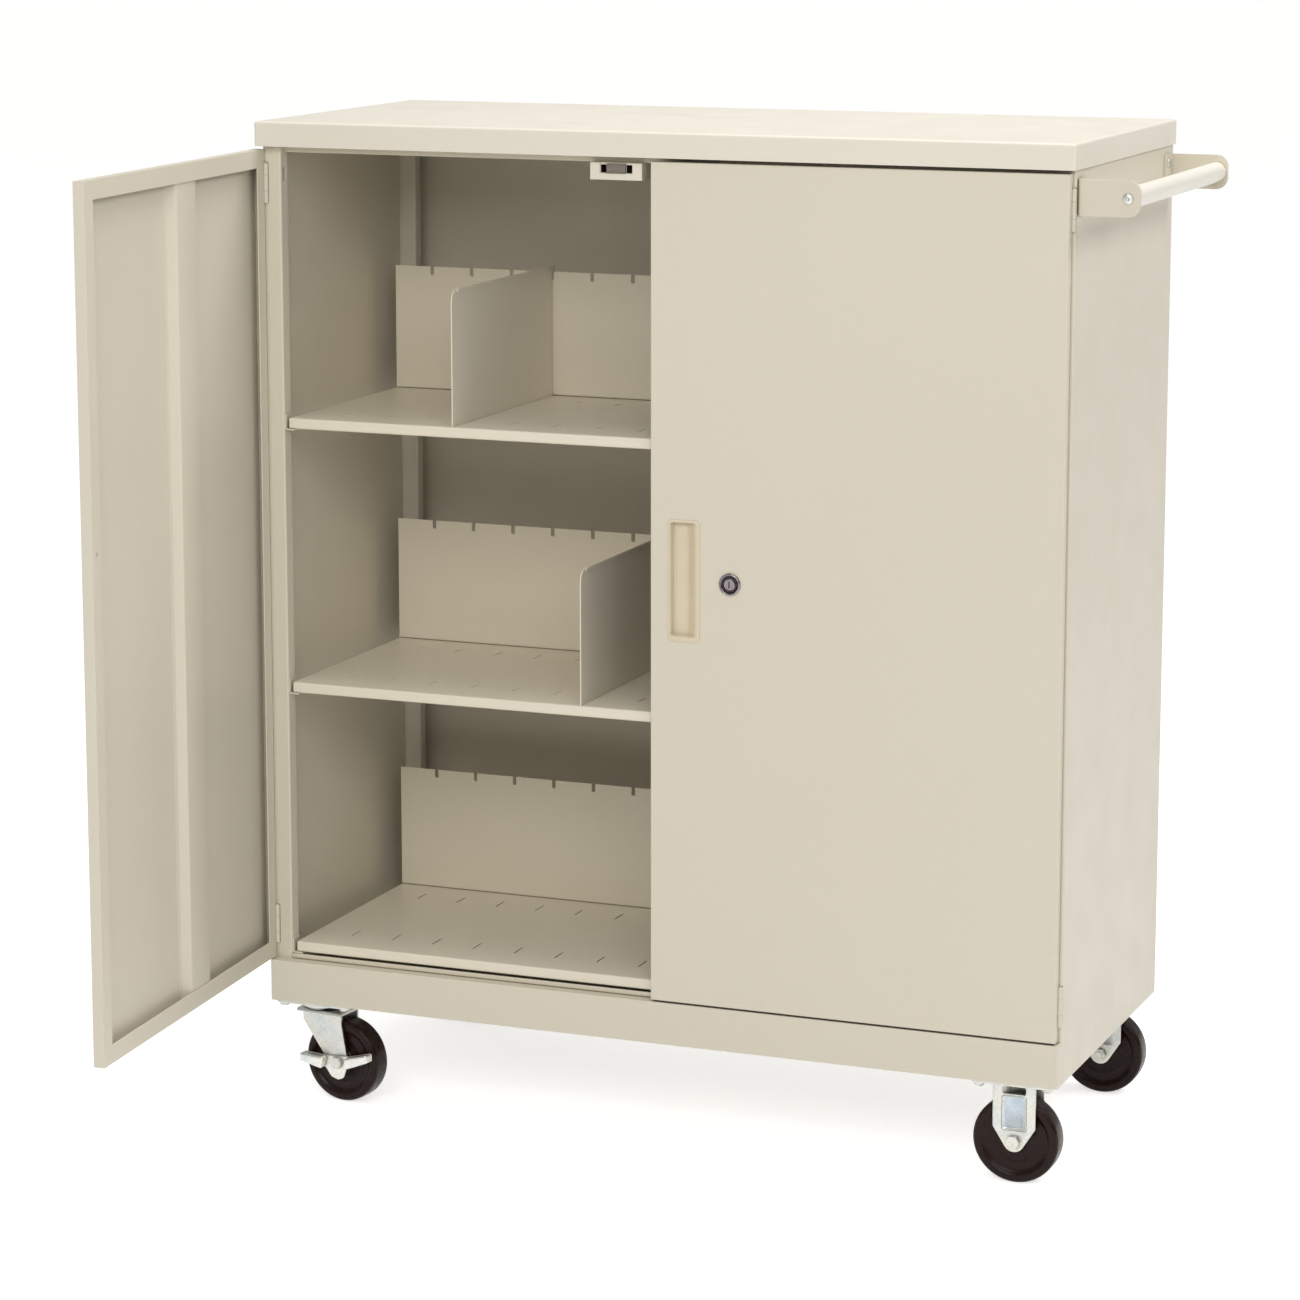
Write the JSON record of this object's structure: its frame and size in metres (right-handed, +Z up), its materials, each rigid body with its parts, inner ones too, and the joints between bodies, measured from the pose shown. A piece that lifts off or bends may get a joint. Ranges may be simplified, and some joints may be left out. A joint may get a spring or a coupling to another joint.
{
  "type": "transport cart",
  "caption": "Steel file transport cart with two hinged doors, slotted shelves, a push handle and a plinth on casters.",
  "frame": {"origin": "bottom centre of the box round the cart as stored, with the left door open; on the floor under the wheels", "axes": "+X to the right along the width, towards the push handle; -Y out of the door side; +Z up"},
  "size_m": [1.0114, 0.8592, 1.12],
  "materials": {
    "cabinet_paint": "satin",
    "door_paint": "satin",
    "board_paint": "satin",
    "shelf_paint": "satin",
    "handle_paint": "satin",
    "zinc": "plated",
    "wheel_rubber": "matte",
    "catch_plastic": "satin",
    "magnet": "matte",
    "pull_plastic": "satin",
    "lock_metal": "bright"
  },
  "bodies": {
    "cabinet": {"top_board": "board_paint", "head_frame": "cabinet_paint", "left_side": "cabinet_paint", "right_side": "cabinet_paint", "back_panel": "cabinet_paint", "left_rear_post": "cabinet_paint", "right_rear_post": "cabinet_paint", "base_frame": "cabinet_paint", "door_sill": "cabinet_paint", "caster_backing_plates": "zinc", "shelf_clips": "cabinet_paint", "catch_housings": "catch_plastic", "catch_magnets": "magnet", "hinge_frame_leaves": "cabinet_paint", "hinge_pins": "cabinet_paint", "caster_bolts": "zinc", "fixed_caster_plates": "zinc", "fixed_caster_axles": "zinc", "front_right_fork": "zinc", "rear_right_fork": "zinc", "front_left_plate": "zinc", "rear_left_plate": "zinc", "front_handle_bracket": "handle_paint", "rear_handle_bracket": "handle_paint", "handle_tube": "handle_paint", "handle_screws": "zinc", "upper_divider": "shelf_paint", "middle_divider": "shelf_paint", "bottom_shelf": "shelf_paint", "bottom_back_stop": "shelf_paint", "middle_shelf": "shelf_paint", "middle_back_stop": "shelf_paint", "upper_shelf": "shelf_paint", "upper_back_stop": "shelf_paint"},
    "left_door": {"left_door_pan": "door_paint", "left_door_stiffener": "door_paint", "left_door_leaves": "door_paint"},
    "right_door": {"right_door_pan": "door_paint", "right_door_stiffener": "door_paint", "right_door_leaves": "door_paint", "pull_cup": "pull_plastic", "lock_housing": "lock_metal", "lock_nut": "zinc", "bar_guides": "zinc"},
    "lock": {"lock_plug": "lock_metal", "lock_cam": "zinc"},
    "upper_bar": {"upper_locking_bar": "zinc"},
    "lower_bar": {"lower_locking_bar": "zinc"},
    "front_left_swivel": {"front_left_fork": "zinc", "front_left_axle": "zinc"},
    "front_left_brake": {"front_left_brake_pedal": "zinc"},
    "front_left_roller": {"front_left_wheel": "wheel_rubber"},
    "rear_left_swivel": {"rear_left_fork": "zinc", "rear_left_axle": "zinc"},
    "rear_left_brake": {"rear_left_brake_pedal": "zinc"},
    "rear_left_roller": {"rear_left_wheel": "wheel_rubber"},
    "front_right_roller": {"front_right_wheel": "wheel_rubber"},
    "rear_right_roller": {"rear_right_wheel": "wheel_rubber"}
  },
  "joints": [
    {"name": "left_door_swing", "type": "hinge", "parent": "cabinet", "child": "left_door", "pos_m": [-0.49233, 0.03261, 0.165], "axis": [0, 0, -1], "range_deg": [-86, 22]},
    {"name": "right_door_swing", "type": "hinge", "parent": "cabinet", "child": "right_door", "pos_m": [0.43567, 0.03261, 0.165], "axis": [0, 0, 1], "range_deg": [0, 95]},
    {"name": "lock_turn", "type": "hinge", "parent": "right_door", "child": "lock", "pos_m": [0.06517, 0.02431, 0.63691], "axis": [0, 1, 0], "range_deg": [0, 90]},
    {"name": "upper_bar_slide", "type": "slide", "parent": "right_door", "child": "upper_bar", "axis": [0, 0, 1], "range_m": [0, 0.01702]},
    {"name": "lower_bar_slide", "type": "slide", "parent": "right_door", "child": "lower_bar", "axis": [0, 0, -1], "range_m": [0, 0.01702]},
    {"name": "front_left_swivel_turn", "type": "hinge", "parent": "cabinet", "child": "front_left_swivel", "pos_m": [-0.44433, 0.05011, 0.1042], "axis": [0, 0, 1], "continuous": true},
    {"name": "front_left_brake_press", "type": "hinge", "parent": "front_left_swivel", "child": "front_left_brake", "pos_m": [-0.41166, 0.04551, 0.048], "axis": [0.1392, 0.9903, 0], "range_deg": [0, 12]},
    {"name": "front_left_wheel_spin", "type": "hinge", "parent": "front_left_swivel", "child": "front_left_roller", "pos_m": [-0.41166, 0.04551, 0.048], "axis": [0.1392, 0.9903, 0], "continuous": true},
    {"name": "rear_left_swivel_turn", "type": "hinge", "parent": "cabinet", "child": "rear_left_swivel", "pos_m": [-0.44433, 0.39711, 0.1042], "axis": [0, 0, 1], "continuous": true},
    {"name": "rear_left_brake_press", "type": "hinge", "parent": "rear_left_swivel", "child": "rear_left_brake", "pos_m": [-0.41206, 0.40397, 0.048], "axis": [-0.2079, 0.9781, 0], "range_deg": [0, 12]},
    {"name": "rear_left_wheel_spin", "type": "hinge", "parent": "rear_left_swivel", "child": "rear_left_roller", "pos_m": [-0.41206, 0.40397, 0.048], "axis": [-0.2079, 0.9781, 0], "continuous": true},
    {"name": "front_right_wheel_spin", "type": "hinge", "parent": "cabinet", "child": "front_right_roller", "pos_m": [0.38767, 0.05011, 0.048], "axis": [0, 1, 0], "continuous": true},
    {"name": "rear_right_wheel_spin", "type": "hinge", "parent": "cabinet", "child": "rear_right_roller", "pos_m": [0.38767, 0.39711, 0.048], "axis": [0, 1, 0], "continuous": true}
  ],
  "couplings": [
    {"joint": "upper_bar_slide", "follows": "lock_turn", "m_per_rad": 0.010804},
    {"joint": "lower_bar_slide", "follows": "lock_turn", "m_per_rad": 0.010804}
  ]
}
